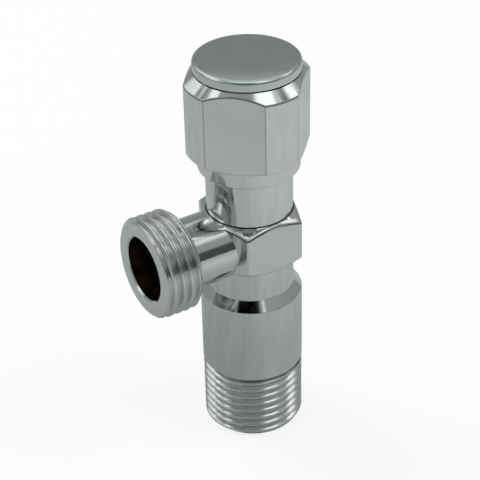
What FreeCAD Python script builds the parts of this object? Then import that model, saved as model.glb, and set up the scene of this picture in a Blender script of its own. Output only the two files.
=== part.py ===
"""Quarter-turn angle valve with two male G1/2 ends.

The frame has +Z along the valve's axis, its origin at the centre of the inlet's end face,
and the outlet along -Y. All sizes are in millimetres.
"""
import FreeCAD, Part
import math
import os

# Both pipe ends, with a right-handed thread; a crest is placed by its height on the +X side
thread_crest_d = 20.75
thread_pitch = 1.814
thread_crest_flat = 0.4
thread_root_flat = 0.31
thread_flank_angle = 27.5
inlet_thread_length = 14.4
inlet_crest_at = 1.37
inlet_end_chamfer = 0.9
outlet_thread_length = 8.1
outlet_crest_at = 1.232
outlet_end_chamfer = 0.7
outlet_back_chamfer = 1.1
relief_depth = 0.75
relief_width = 0.8

# Outside of the body
barrel_d = 20.9
barrel_length = 17.0
shoulder_height = 2.0
neck_d = 17.4
lower_neck_length = 6.2
upper_neck_length = 11.0
block_height = 11.2
block_half_width = 9.4
block_nose = 10.4
block_back_nose = 9.6
block_side_half = 6.35
block_ledge_width = 0.1
block_corner_slope = 30
neck_facing_width = 1.2
outlet_above_block_base = 4.9
outlet_reach = 24.7
outlet_neck_d = 14.3
edge_round = 0.3
root_round = 0.8

# Waterways
inlet_bore_d = 14.0
inlet_bore_depth = 30.0
inlet_bore_taper = 2.2
seat_hole_d = 8.0
seat_web = 4.4
outlet_mouth_d = 13.1
outlet_mouth_depth = 6.8
outlet_mouth_chamfer = 0.3
outlet_bore_d = 10.0

# Headwork
housing_tube_clearance = 0.15
housing_thread_step = 0.25
housing_thread_length = 6.6
housing_tube_wall = 1.0
housing_foot_gap = 0.4
housing_flange_thick = 1.0
housing_flange_inset = 0.3
housing_thread_lead = 0.3
housing_hex_flats = 15.0
housing_hex_height = 3.0
housing_hex_bevel_run = 2.0
neck_mouth_seal_cord = 1.35
window_height = 3.6
window_angle = 100
stop_lug_height = 1.6
stop_lug_wall = 1.2

# Ceramic discs and seat seal
disc_d = 10.4
seat_seal_height = 2.2
seat_seal_wall = 0.85
support_ring_wall = 0.55
fixed_disc_thick = 2.2
moving_disc_thick = 2.4
disc_key_width = 2.4
disc_port_angle = 80
disc_web_angle = 96
disc_port_inner_r = 1.5
disc_port_outer_r = 3.7
disc_slot_depth = 1.2

# Spindle
spindle_flange_step = 1.25
driver_bar_width = 3.4
driver_tang_width = 2.8
spindle_flange_thick = 1.6
thrust_washer_thick = 0.45
spindle_ring_groove_d = 5.8
spindle_ring_groove_width = 1.4
spindle_ring_inset = 3.2
spindle_ring_spacing = 4.0
spindle_flats = 6.6
stop_ring_thick = 1.2
stop_ring_wall = 1.3
stop_tab_angle = 60
clip_thick = 0.7
clip_groove_d = 6.4
clip_d = 9.6
clip_opening_angle = 70
spline_shoulder = 0.4
spline_length = 7.4
spline_teeth = 20
spline_depth = 0.45
turn_angle = 90

# Handle and its fastening
handle_d = 25.14
handle_flat_distance = 11.09
handle_flat_turn = 45
handle_side_height = 14.8
handle_top_rise = 1.7
handle_bottom_rise = 1.05
skirt_d = 20.4
skirt_bore_d = 18.0
skirt_height = 3.25
skirt_overlap = 1.3
handle_ceiling_wall = 1.6
spindle_head_room = 0.2
hub_above_clip = 1.2
hub_d = 14.6
adapter_flats = 10.6
adapter_head_room = 0.1
screw_thread_d = 3.55
screw_engagement = 8.0
screw_hole_spare = 1.0
screw_head_d = 7.0
screw_head_height = 2.2
screw_head_round = 1.3
screw_clearance_d = 4.4
screw_drive_width = 0.9
screw_drive_reach = 2.0
screw_drive_depth = 1.2
flat_washer_d = 9.0
flat_washer_thick = 0.5
spring_washer_d = 7.2
spring_washer_thick = 0.8
spring_washer_slit = 0.8

# Cap
cap_d = 20.96
cap_thick = 2.5
cap_round = 0.7
cap_roof = 1.2
cap_plug_d = 16.2
cap_plug_length = 3.0
cap_plug_wall = 2.0
cap_plug_clearance = 0.1
cap_ring_cord = 1.1
cap_ring_drop = 1.5

# Clearances
running_gap = 0.05
face_gap = 0.02
seal_gap = 0.03
fit_gap = 0.05
stop_play_angle = 1
overcut = 1.0

# Heights along the valve's axis, from the inlet's end face
relief_top = inlet_thread_length + relief_width
barrel_top = relief_top + barrel_length
shoulder_top = barrel_top + shoulder_height
block_base = shoulder_top + lower_neck_length
block_top = block_base + block_height
neck_top = block_top + upper_neck_length
mouth_seat_height = neck_top - neck_mouth_seal_cord
outlet_height = block_base + outlet_above_block_base
bore_top = inlet_bore_depth + inlet_bore_taper
seat_top = bore_top + seat_web

fixed_disc_base = seat_top + seat_seal_height
moving_disc_base = fixed_disc_base + fixed_disc_thick + face_gap
moving_disc_top = moving_disc_base + moving_disc_thick
window_base = moving_disc_top + fit_gap
window_top = window_base + window_height
flange_top = window_top + spindle_flange_thick
washer_base = flange_top + face_gap
tube_ceiling = washer_base + thrust_washer_thick + face_gap

housing_flange_top = neck_top + housing_flange_thick
housing_top = housing_flange_top + housing_hex_height
stop_ring_base = housing_top + running_gap
stop_ring_top = stop_ring_base + stop_ring_thick
clip_base = stop_ring_top + fit_gap
clip_top = clip_base + clip_thick
spline_base = clip_top + spline_shoulder
spindle_top = spline_base + spline_length

ceiling_base = spindle_top + spindle_head_room
recess_floor = ceiling_base + handle_ceiling_wall
hub_base = clip_top + hub_above_clip
skirt_base = neck_top - skirt_overlap
handle_bottom = skirt_base + skirt_height
handle_side_base = handle_bottom + handle_bottom_rise
handle_side_top = handle_side_base + handle_side_height
handle_top = handle_side_top + handle_top_rise

# Radii that follow from the sizes above
crest_r = thread_crest_d / 2
flank_slope = math.tan(math.radians(thread_flank_angle))
relief_r = crest_r - relief_depth
neck_r = neck_d / 2
block_ledge_r = neck_r + block_ledge_width
disc_r = disc_d / 2
disc_chamber_r = disc_r + running_gap
tube_r = disc_chamber_r + housing_tube_wall
chamber_r = tube_r + housing_tube_clearance
body_thread_r = chamber_r + housing_thread_step
spindle_r = disc_r - spindle_flange_step
spindle_bore_r = spindle_r + running_gap
stop_ring_r = spindle_r + stop_ring_wall
stop_lug_r = stop_ring_r + running_gap
stop_lug_outer_r = stop_lug_r + stop_lug_wall
mouth_seal_inner_r = chamber_r
mouth_seat_r = mouth_seal_inner_r + neck_mouth_seal_cord
hub_socket_flats = adapter_flats + 2 * fit_gap
cap_recess_r = cap_plug_d / 2 + cap_plug_clearance

VERTICAL = FreeCAD.Vector(0, 0, 1)


def at(x, y, z):
    return FreeCAD.Vector(x, y, z)


def rounded_wire(corners, lift=None):
    """Closed wire through (u, v, rounding) corners; lift turns (u, v) into a point in space."""
    lift = lift or (lambda u, v: at(u, 0, v))
    flat = [FreeCAD.Vector(u, v, 0) for u, v, _ in corners]
    count = len(corners)
    ends = []
    for i in range(count):
        corner = flat[i]
        rounding = corners[i][2]
        to_last = (flat[i - 1] - corner).normalize()
        to_next = (flat[(i + 1) % count] - corner).normalize()
        if rounding == 0:
            ends.append((corner, None, corner))
            continue
        half = to_last.getAngle(to_next) / 2
        setback = rounding / math.tan(half)
        inward = (to_last + to_next).normalize()
        middle = corner + inward * (rounding / math.sin(half) - rounding)
        ends.append((corner + to_last * setback, middle, corner + to_next * setback))
    place = [[None if p is None else lift(p.x, p.y) for p in trio] for trio in ends]
    edges = []
    for i in range(count):
        start, middle, end = place[i]
        if middle is not None:
            edges.append(Part.Arc(start, middle, end).toShape())
        following = place[(i + 1) % count][0]
        if (following - end).Length > 1e-6:
            edges.append(Part.LineSegment(end, following).toShape())
    return Part.Wire(edges)


def turned(corners):
    """Solid of revolution about Z from (radius, height, rounding) corners."""
    return Part.Face(rounded_wire(corners)).revolve(at(0, 0, 0), VERTICAL, 360)


def prism(corners, base, top):
    """Upright prism over (x, y, rounding) corners."""
    outline = rounded_wire(corners, lambda x, y: at(x, y, base))
    return Part.Face(outline).extrude(at(0, 0, top - base))


def rod(radius, base, top):
    return Part.makeCylinder(radius, top - base, at(0, 0, base))


def tube(inner_r, outer_r, base, top):
    return rod(outer_r, base, top).cut(rod(inner_r, base, top))


def sector(inner_r, outer_r, base, top, start, sweep):
    """Part of a tube from the start angle over the sweep, in degrees."""
    corners = [at(inner_r, 0, base), at(outer_r, 0, base), at(outer_r, 0, top), at(inner_r, 0, top)]
    face = Part.Face(Part.makePolygon(corners + corners[:1]))
    piece = face.revolve(at(0, 0, 0), VERTICAL, sweep)
    piece.rotate(at(0, 0, 0), VERTICAL, start)
    return piece


def hexagon(flats, base, top, rounding=0):
    corner_r = flats / 2 / math.cos(math.radians(30))
    angles = [math.radians(60 * i) for i in range(6)]
    return prism([(corner_r * math.cos(a), corner_r * math.sin(a), rounding) for a in angles], base, top)


def slab(length_x, length_y, base, top):
    return Part.makeBox(length_x, length_y, top - base, at(-length_x / 2, -length_y / 2, base))


def ring(cord, inner_r, middle_height):
    """Sealing ring of round cord."""
    return Part.makeTorus(inner_r + cord / 2, cord / 2, at(0, 0, middle_height), VERTICAL)


def towards_outlet(shape):
    """Turn a shape made about Z so that its +Z runs along the outlet's axis."""
    shape.Placement = FreeCAD.Placement(at(0, 0, outlet_height), FreeCAD.Rotation(at(1, 0, 0), 90))
    return shape


def thread_groove(crest_at, base, top):
    """Helical groove about Z, from below the base until its middle reaches the top."""
    groove_half = (thread_pitch - thread_crest_flat) / 2
    root_half = thread_root_flat / 2
    root_r = crest_r - (groove_half - root_half) / flank_slope
    mouth_half = groove_half + thread_crest_flat / 4
    mouth_r = crest_r + (mouth_half - groove_half) / flank_slope
    start = crest_at + thread_pitch * (math.floor((base - crest_at) / thread_pitch) - 0.5)
    edges = []
    for radius, offset in [(root_r, -root_half), (mouth_r, -mouth_half),
                           (mouth_r, mouth_half), (root_r, root_half)]:
        edge = Part.makeLongHelix(thread_pitch, top - start, radius)
        edge.translate(at(0, 0, start + offset))
        edges.append(edge)
    faces = []
    for i in range(4):
        faces += Part.makeRuledSurface(edges[i - 1], edges[i]).Faces
    for end in (0, -1):
        corners = [edge.Vertexes[end].Point for edge in edges]
        faces.append(Part.Face(Part.makePolygon(corners + corners[:1])))
    return Part.Solid(Part.Shell(faces))


def body_turning():
    """Everything on the body that is turned about the valve's axis."""
    barrel_r = barrel_d / 2
    return turned([
        (0, 0, 0),
        (crest_r - inlet_end_chamfer, 0, 0),
        (crest_r, inlet_end_chamfer, 0),
        (crest_r, inlet_thread_length, 0),
        (relief_r, inlet_thread_length, 0),
        (relief_r, relief_top, 0),
        (barrel_r, relief_top, edge_round / 2),
        (barrel_r, barrel_top, edge_round),
        (neck_r, shoulder_top, edge_round),
        (neck_r, neck_top, edge_round),
        (0, neck_top, 0),
    ])


def body_block():
    """Squashed hexagon, turned to a cone above and below that starts close to the necks."""
    hex_corners = [
        (0, -block_nose, edge_round),
        (block_half_width, -block_side_half, edge_round),
        (block_half_width, block_side_half, edge_round),
        (0, block_back_nose, edge_round),
        (-block_half_width, block_side_half, edge_round),
        (-block_half_width, -block_side_half, edge_round),
    ]
    tip_r = math.hypot(block_half_width, block_side_half)
    drop = (tip_r - block_ledge_r) * math.tan(math.radians(block_corner_slope))
    corner_cone = turned([
        (0, block_base, 0),
        (block_ledge_r, block_base, 0),
        (tip_r, block_base + drop, 0),
        (tip_r, block_top - drop, 0),
        (block_ledge_r, block_top, 0),
        (0, block_top, 0),
    ])
    return prism(hex_corners, block_base, block_top).common(corner_cone)


def body_outlet():
    """Neck and threaded collar of the outlet."""
    collar_base = outlet_reach - outlet_thread_length
    outlet_neck_r = outlet_neck_d / 2
    blank = turned([
        (0, 0, 0),
        (outlet_neck_r, 0, 0),
        (outlet_neck_r, collar_base, root_round),
        (crest_r - outlet_back_chamfer, collar_base, 0),
        (crest_r, collar_base + outlet_back_chamfer, 0),
        (crest_r, outlet_reach - outlet_end_chamfer, 0),
        (crest_r - outlet_end_chamfer, outlet_reach, 0),
        (0, outlet_reach, 0),
    ])
    groove = thread_groove(outlet_crest_at, collar_base, outlet_reach + thread_pitch / 2)
    return towards_outlet(blank.cut(groove))


def body_waterways():
    """Inlet bore, seat hole and headwork chamber in one turning, and the outlet's bore."""
    upright = turned([
        (0, 0, 0),
        (inlet_bore_d / 2, 0, 0),
        (inlet_bore_d / 2, inlet_bore_depth, 0),
        (seat_hole_d / 2, bore_top, 0),
        (seat_hole_d / 2, seat_top, 0),
        (chamber_r, seat_top, 0),
        (chamber_r, mouth_seat_height - housing_thread_length, 0),
        (body_thread_r, mouth_seat_height - housing_thread_length, 0),
        (body_thread_r, mouth_seat_height, 0),
        (mouth_seat_r, mouth_seat_height, 0),
        (mouth_seat_r, neck_top, 0),
        (0, neck_top, 0),
    ])
    mouth_r = outlet_mouth_d / 2
    mouth_floor = outlet_reach - outlet_mouth_depth
    sideways = towards_outlet(turned([
        (0, 0, 0),
        (outlet_bore_d / 2, 0, 0),
        (outlet_bore_d / 2, mouth_floor, 0),
        (mouth_r, mouth_floor, 0),
        (mouth_r, outlet_reach - outlet_mouth_chamfer, 0),
        (mouth_r + outlet_mouth_chamfer, outlet_reach, 0),
        (0, outlet_reach, 0),
    ]))
    return upright.fuse(sideways)


def neck_facing():
    """What the turning of the upper neck takes off the outlet's neck, down to the block's top."""
    return tube(neck_r, neck_r + neck_facing_width, block_top, outlet_height + outlet_neck_d)


def valve_body():
    forging = body_block().fuse(body_outlet()).cut(neck_facing())
    outside = body_turning().fuse(forging).removeSplitter()
    groove = thread_groove(inlet_crest_at, 0, inlet_thread_length - thread_pitch / 4)
    return outside.cut([body_waterways(), groove])


def cartridge_housing():
    """Headwork: tube with windows, thread, flange, hexagon and stop lug."""
    thread_r = body_thread_r - face_gap
    thread_base = mouth_seat_height - housing_thread_length
    flange_r = neck_r - housing_flange_inset
    outside = turned([
        (0, seat_top + housing_foot_gap, 0),
        (tube_r, seat_top + housing_foot_gap, 0),
        (tube_r, thread_base, 0),
        (thread_r, thread_base + housing_thread_lead, 0),
        (thread_r, mouth_seat_height, 0),
        (mouth_seal_inner_r, mouth_seat_height, 0),
        (mouth_seal_inner_r, neck_top, 0),
        (flange_r, neck_top, edge_round),
        (flange_r, housing_flange_top, edge_round),
        (0, housing_flange_top, 0),
    ])
    nut = hexagon(housing_hex_flats, housing_flange_top, housing_top, edge_round)
    bevel = turned([
        (0, housing_flange_top, 0),
        (housing_hex_flats / 2 + housing_hex_bevel_run, housing_flange_top, 0),
        (housing_hex_flats / 2, housing_top, 0),
        (0, housing_top, 0),
    ])
    free_angle = stop_tab_angle + turn_angle + 2 * stop_play_angle
    lug = sector(stop_lug_r, stop_lug_outer_r, housing_top, housing_top + stop_lug_height,
                 turn_angle + stop_tab_angle / 2 + stop_play_angle, 360 - free_angle)
    hollow = turned([
        (0, seat_top, 0),
        (disc_chamber_r, seat_top, 0),
        (disc_chamber_r, tube_ceiling, 0),
        (spindle_bore_r, tube_ceiling, 0),
        (spindle_bore_r, housing_top, 0),
        (0, housing_top, 0),
    ])
    openings = []
    for middle in (90, 270):
        start = middle - window_angle / 2
        openings.append(sector(disc_chamber_r - overcut, tube_r + overcut, window_base, window_top,
                               start, window_angle))
    key_slot_top = fixed_disc_base + fixed_disc_thick
    openings.append(slab(2 * (tube_r + overcut), disc_key_width + 2 * fit_gap, seat_top, key_slot_top))
    return outside.fuse([nut.common(bevel), lug]).cut([hollow] + openings).removeSplitter()


def housing_seal_ring():
    cord = neck_mouth_seal_cord - 2 * seal_gap
    return ring(cord, mouth_seal_inner_r + seal_gap, neck_top - neck_mouth_seal_cord / 2)


def seat_seal():
    """Rubber ring between the seat in the body and the fixed disc."""
    outer_r = disc_chamber_r - seal_gap
    return turned([
        (outer_r - seat_seal_wall, seat_top, edge_round / 2),
        (outer_r, seat_top, edge_round / 2),
        (outer_r, fixed_disc_base, 0),
        (outer_r - seat_seal_wall, fixed_disc_base, 0),
    ])


def seal_support_ring():
    outer_r = disc_chamber_r - seat_seal_wall - 2 * seal_gap
    return tube(outer_r - support_ring_wall, outer_r, seat_top + housing_foot_gap, fixed_disc_base)


def disc_ports(base, top):
    """Two opposite sector holes across the outlet's axis."""
    ports = []
    for middle in (90, 270):
        start = middle - disc_port_angle / 2
        ports.append(sector(disc_port_inner_r, disc_port_outer_r, base, top, start, disc_port_angle))
    return ports


def fixed_disc():
    top = fixed_disc_base + fixed_disc_thick
    key = slab(2 * tube_r, disc_key_width, fixed_disc_base, top).common(rod(tube_r, fixed_disc_base, top))
    disc = rod(disc_r, fixed_disc_base, top).fuse(key)
    return disc.cut(disc_ports(fixed_disc_base, top)).removeSplitter()


def moving_disc():
    """Its two solid sides cover the ports at rest; the open sides uncover them after the quarter turn."""
    disc = rod(disc_r, moving_disc_base, moving_disc_top)
    open_angle = 180 - disc_web_angle
    open_sides = []
    for middle in (0, 180):
        start = middle - open_angle / 2
        open_sides.append(sector(disc_port_inner_r, disc_r + overcut, moving_disc_base, moving_disc_top,
                                 start, open_angle))
    slot = slab(driver_tang_width + 2 * fit_gap, 2 * (disc_r + overcut),
                moving_disc_top - disc_slot_depth, moving_disc_top)
    return disc.cut(open_sides + [slot])


def spline_corners(outer_r):
    """Pointed teeth as a star of alternating radii."""
    corners = []
    for i in range(2 * spline_teeth):
        radius = outer_r if i % 2 == 0 else outer_r - spline_depth
        angle = math.pi * i / spline_teeth
        corners.append((radius * math.cos(angle), radius * math.sin(angle), 0))
    return corners


def spindle_ring_heights():
    first = tube_ceiling + spindle_ring_inset
    return first, first + spindle_ring_spacing


def flatted_rod(radius, flats, base, top):
    """Round rod with two flats facing +X and -X."""
    return rod(radius, base, top).common(slab(flats, 2 * (radius + overcut), base, top))


def spindle():
    shaft = rod(spindle_r, flange_top, stop_ring_base)
    grooves = []
    for height in spindle_ring_heights():
        half = spindle_ring_groove_width / 2
        grooves.append(tube(spindle_ring_groove_d / 2, spindle_r + overcut, height - half, height + half))
    grooves.append(tube(clip_groove_d / 2, spindle_r + overcut, clip_base, clip_top))
    flange = rod(disc_r, window_top, flange_top)
    bar = slab(driver_bar_width, 2 * disc_r, window_base, window_top)
    tang = slab(driver_tang_width, 2 * disc_r, moving_disc_top - disc_slot_depth + fit_gap, window_base)
    driver = bar.fuse(tang).common(rod(disc_r - fit_gap, moving_disc_base, window_top))
    flats = flatted_rod(spindle_r, spindle_flats, stop_ring_base, spline_base)
    head = prism(spline_corners(spindle_r), spline_base, spindle_top)
    screw_hole = rod(screw_thread_d / 2, spindle_top - screw_engagement - screw_hole_spare, spindle_top)
    whole = shaft.fuse([flange, driver, flats, head]).cut(grooves + [screw_hole])
    return whole.removeSplitter()


def spindle_ring(height):
    groove_r = spindle_ring_groove_d / 2
    cord = spindle_bore_r - groove_r - 2 * seal_gap
    return ring(cord, groove_r + seal_gap, height)


def thrust_washer():
    return tube(spindle_r + fit_gap, disc_r, washer_base, washer_base + thrust_washer_thick)


def stop_ring():
    """Ring on the spindle's flats with the tab that meets the housing's lug."""
    disc = rod(stop_ring_r, stop_ring_base, stop_ring_top)
    tab = sector(stop_ring_r - stop_ring_wall / 2, stop_lug_outer_r, stop_ring_base, stop_ring_top,
                 -stop_tab_angle / 2, stop_tab_angle)
    hole = flatted_rod(spindle_r + fit_gap, spindle_flats + 2 * fit_gap, stop_ring_base, stop_ring_top)
    return disc.fuse(tab).cut(hole).removeSplitter()


def spindle_clip():
    """C-shaped clip, open towards +Y."""
    start = 90 + clip_opening_angle / 2
    inner_r = clip_groove_d / 2 + fit_gap
    return sector(inner_r, clip_d / 2, clip_base + face_gap, clip_top - face_gap, start,
                  360 - clip_opening_angle)


def spline_adapter():
    top = ceiling_base - adapter_head_room
    sleeve = hexagon(adapter_flats, hub_base, top, edge_round)
    return sleeve.cut(prism(spline_corners(spindle_r + fit_gap), hub_base, top))


def handle():
    """Hollow knob with skirt, four flats, hub with hexagon socket and recess for the cap."""
    side_r = handle_d / 2
    skirt_r = skirt_d / 2
    outside = turned([
        (0, skirt_base, 0),
        (skirt_r, skirt_base, edge_round),
        (skirt_r, handle_bottom, 0),
        (side_r, handle_side_base, edge_round),
        (side_r, handle_side_top, edge_round),
        (cap_d / 2, handle_top, 0),
        (0, handle_top, 0),
    ])
    four_flats = slab(2 * handle_flat_distance, 2 * handle_flat_distance, skirt_base, handle_top)
    four_flats.rotate(at(0, 0, 0), VERTICAL, handle_flat_turn)
    shell = outside.common(four_flats)
    inside = tube(hub_d / 2, skirt_bore_d / 2, hub_base, ceiling_base)
    below_hub = rod(skirt_bore_d / 2, skirt_base, hub_base)
    socket = hexagon(hub_socket_flats, hub_base, ceiling_base, edge_round)
    screw_way = rod(screw_clearance_d / 2, ceiling_base, recess_floor)
    recess = rod(cap_recess_r, recess_floor, handle_top)
    return shell.cut([inside, below_hub, socket, screw_way, recess])


def screw_flat_washer():
    return tube(screw_clearance_d / 2, flat_washer_d / 2, recess_floor, recess_floor + flat_washer_thick)


def screw_spring_washer():
    base = recess_floor + flat_washer_thick
    top = base + spring_washer_thick
    slit = Part.makeBox(spring_washer_d, spring_washer_slit, spring_washer_thick,
                        at(0, -spring_washer_slit / 2, base))
    return tube(screw_clearance_d / 2, spring_washer_d / 2, base, top).cut(slit)


def handle_screw():
    """Pan head with a crossed drive."""
    head_base = recess_floor + flat_washer_thick + spring_washer_thick
    head_top = head_base + screw_head_height
    head_r = screw_head_d / 2
    thread_r = screw_thread_d / 2 - face_gap
    tip = spindle_top - screw_engagement
    solid = turned([
        (0, tip, 0),
        (thread_r, tip, edge_round),
        (thread_r, head_base, 0),
        (head_r, head_base, 0),
        (head_r, head_top, screw_head_round),
        (0, head_top, 0),
    ])
    drive_base = head_top - screw_drive_depth
    cross = slab(2 * screw_drive_reach, screw_drive_width, drive_base, head_top)
    cross = cross.fuse(slab(screw_drive_width, 2 * screw_drive_reach, drive_base, head_top))
    return solid.cut(cross)


def cap_groove_r():
    return cap_plug_d / 2 - cap_ring_cord + cap_plug_clearance


def handle_cap():
    """Disc with rounded rim over a hollow plug that carries the cap ring."""
    plug_r = cap_plug_d / 2
    groove_middle = handle_top - cap_ring_drop
    groove_half = cap_ring_cord / 2 + seal_gap
    hollow_top = handle_top + cap_thick - cap_roof
    solid = turned([
        (0, handle_top - cap_plug_length, 0),
        (plug_r, handle_top - cap_plug_length, edge_round),
        (plug_r, groove_middle - groove_half, 0),
        (cap_groove_r(), groove_middle - groove_half, 0),
        (cap_groove_r(), groove_middle + groove_half, 0),
        (plug_r, groove_middle + groove_half, 0),
        (plug_r, handle_top, 0),
        (cap_d / 2, handle_top, 0),
        (cap_d / 2, handle_top + cap_thick, cap_round),
        (0, handle_top + cap_thick, 0),
    ])
    return solid.cut(rod(plug_r - cap_plug_wall, handle_top - cap_plug_length, hollow_top))


def cap_ring():
    cord = cap_recess_r - cap_groove_r() - 2 * seal_gap
    return ring(cord, cap_groove_r() + seal_gap, handle_top - cap_ring_drop)


def main():
    lower_ring_height, upper_ring_height = spindle_ring_heights()
    pieces = {
        "valve_body": valve_body(),
        "cartridge_housing": cartridge_housing(),
        "housing_seal_ring": housing_seal_ring(),
        "seat_seal": seat_seal(),
        "seal_support_ring": seal_support_ring(),
        "fixed_disc": fixed_disc(),
        "thrust_washer": thrust_washer(),
        "moving_disc": moving_disc(),
        "spindle": spindle(),
        "lower_spindle_ring": spindle_ring(lower_ring_height),
        "upper_spindle_ring": spindle_ring(upper_ring_height),
        "stop_ring": stop_ring(),
        "spindle_clip": spindle_clip(),
        "spline_adapter": spline_adapter(),
        "handle": handle(),
        "screw_flat_washer": screw_flat_washer(),
        "screw_spring_washer": screw_spring_washer(),
        "handle_screw": handle_screw(),
        "handle_cap": handle_cap(),
        "cap_ring": cap_ring(),
    }
    os.makedirs("parts", exist_ok=True)
    for name, shape in pieces.items():
        box = shape.optimalBoundingBox()
        print(f"{name:22s} solids {len(shape.Solids)} valid {shape.isValid()} volume {shape.Volume:9.2f}"
              f" z {box.ZMin:7.2f} to {box.ZMax:7.2f}")
        shape.exportStep(f"parts/{name}.step")


main()
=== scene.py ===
"""Looks of the quarter-turn angle valve: body with real threads, knob with soft edges, materials and studio.

Sizes are in millimetres until a mesh is made; meshes, camera and lamps are in metres.
"""
import bmesh
import bpy
import math
from mathutils import Matrix, Vector

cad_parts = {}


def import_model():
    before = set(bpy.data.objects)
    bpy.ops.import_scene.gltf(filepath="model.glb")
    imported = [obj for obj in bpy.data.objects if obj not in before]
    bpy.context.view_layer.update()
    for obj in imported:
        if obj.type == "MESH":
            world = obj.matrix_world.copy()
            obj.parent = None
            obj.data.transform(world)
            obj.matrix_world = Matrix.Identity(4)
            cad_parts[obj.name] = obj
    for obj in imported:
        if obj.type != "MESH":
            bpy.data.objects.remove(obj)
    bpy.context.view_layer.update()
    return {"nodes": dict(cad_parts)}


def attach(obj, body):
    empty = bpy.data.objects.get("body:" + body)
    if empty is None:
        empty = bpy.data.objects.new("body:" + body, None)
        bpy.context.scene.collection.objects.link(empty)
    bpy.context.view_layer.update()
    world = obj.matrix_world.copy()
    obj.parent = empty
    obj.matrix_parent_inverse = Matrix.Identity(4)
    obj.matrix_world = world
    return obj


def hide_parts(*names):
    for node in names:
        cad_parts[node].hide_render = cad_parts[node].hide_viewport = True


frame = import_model()

metres = 0.001
micrometre = 0.000001

# How finely the new pieces are meshed, and how they are trimmed against each other
columns = 160
round_step = math.radians(11)
thread_arc_steps = 3
bevel_steps = 7
dome_steps = 10
disc_steps = 96
corner_steps = 14
corner_clearance = math.radians(0.5)
block_corner_spread = math.radians(4)
knob_edge_spread = math.radians(2.2)
overcut = 1.0
trim_clearance = 0.3
overlap = 0.01
closing_distance = 0.0002
sharp_angle = math.radians(32)

# Pipe threads; a crest on the +X side is placed by its distance from the inlet's end or the valve's axis
thread_pitch = 1.814
thread_crest_r = 10.375
thread_flank = math.radians(27.5)
thread_form_r = 0.30
thread_truncation = 0.02
inlet_crest_at = 1.37
outlet_crest_at = 1.232
inlet_thread_top = 14.4
inlet_end_chamfer = 0.9
outlet_end_chamfer = 0.7
outlet_back_chamfer = 1.1

# Plug of the turned body inside the end of the inlet thread
inlet_plug_depth = 2.0
inlet_plug_setback = 1.1
inlet_plug_lip = 0.1
inlet_plug_rise = 0.04

# Outside of the body
relief_r = 9.625
relief_top = 15.2
barrel_r = 10.45
barrel_top = 32.2
shoulder_top = 34.2
neck_r = 8.7
block_base = 40.4
block_top = 51.6
neck_top = 62.6
block_half_width = 9.4
block_nose = 10.4
block_back_nose = 9.6
block_side_half = 6.35
block_ledge_r = 8.8
block_corner_slope = math.radians(30)
neck_facing_r = 9.9
neck_facing_round = 0.8
block_edge_round = 0.75
block_corner_round = 0.4
outlet_height = 45.3
outlet_reach = 24.7
outlet_collar_base = 16.6
outlet_neck_r = 7.15
outlet_neck_in_collar = 1.5
root_round = 0.8
edge_round = 0.3

# Waterways
inlet_bore_r = 7.0
inlet_bore_depth = 30.0
inlet_bore_top = 32.2
seat_hole_r = 4.0
seat_top = 36.6
chamber_r = 6.4
housing_thread_r = 6.65
housing_thread_base = 54.65
mouth_seat_height = 61.25
mouth_seat_r = 7.75
outlet_mouth_r = 6.55
outlet_mouth_floor = 17.9
outlet_mouth_chamfer = 0.3
outlet_bore_r = 5.0

# Knob
knob_r = 12.57
knob_flat_distance = 11.09
knob_edge_round = 0.28
knob_edge_line = 0.3
knob_side_base = 65.6
knob_side_top = 80.4
knob_top = 82.1
knob_top_r = 10.48
skirt_r = 10.2
skirt_base = 61.3
skirt_top = 64.55
skirt_bore_r = 9.0
hub_r = 7.3
hub_base = 69.8
hub_ceiling = 76.6
hub_socket_flats = 10.7
screw_way_r = 2.2
cap_recess_floor = 78.2
cap_recess_r = 8.2
seam_groove_inner_r = 9.0
seam_groove_outer_r = 10.3
seam_groove_base = 80.9

# Cap
cap_r = 10.48
cap_top = 84.6
cap_crown = 0.3
cap_rim_round = 0.65
cap_seam_height = 0.34
cap_plug_r = 8.1
cap_plug_base = 79.1
cap_hollow_r = 6.1
cap_hollow_top = 83.4
cap_groove_r = 7.1
cap_groove_base = 80.02
cap_groove_top = 81.18

# Sharpness of the blend between two flat sides that rounds their corner by 1 mm
block_corner_unit = 37
knob_edge_unit = 192

# Painted shade on the block: dark lines across and along its bevel that paint dark reflections under its
# edge, and a painted shadow round the upper neck's foot
block_line_low = 0.42
block_line_high = 0.18
block_line_inner_r = 9.5
block_line_outer_r = 11.3
block_line_front = 8.2
block_line_end = 0.3
foot_line_below = 0.12
foot_line_above = 0.22
foot_line_inside = 0.1
foot_line_outside = 0.2
foot_line_soft = 0.05
line_soft = 0.06

# Slack in telling which faces of the body are bores, thread flanks or the collar's back
bore_slack = 0.05
wall_slack = 0.02
end_slack = 0.01
crest_slack = 0.07
collar_back_slack = 0.1
collar_thread_start = 0.5
collar_root_reach = 0.7

# Unevenness of the finishes: scales in waves to a metre, one depth in micrometres, and shares
cloud_scale = 140
cloud_contrast = 0.05
haze_scale = 230
scuff_scale = (900, 900, 5200)
scuff_roughness = 0.06
ripple_scale = 210
grain_scale = 2600
grain_share = 0.05
satin_cloud_scale = 160
satin_haze_scale = 260
ring_scale = 7000
tarnish_scale = 260
wear_scale = 500
tool_line_scale = 30
tool_line_depth = 6
table_scale = 55

# Stage, in millimetres
floor_radius = 4000
floor_height = -0.02
table_radius = 1500
table_height = -0.005

# Light: colours, strengths, and lamps in metres
sky_tint = (0.96, 0.98, 1)
sky_strength = 0.55
floor_tone = 0.9
floor_white_share = 0.82
lamp_distance = 0.9
lamp_size = 0.5
lamp_aim = 0.04

# Camera: place in metres, angles in degrees, lens and sensor in millimetres
camera_place = (0.220803, -0.136577, 0.214332)
camera_azimuth = 58.725
camera_elevation = 33.387
camera_roll = -1.428
camera_lens = 115.02
camera_sensor = 36


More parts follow.
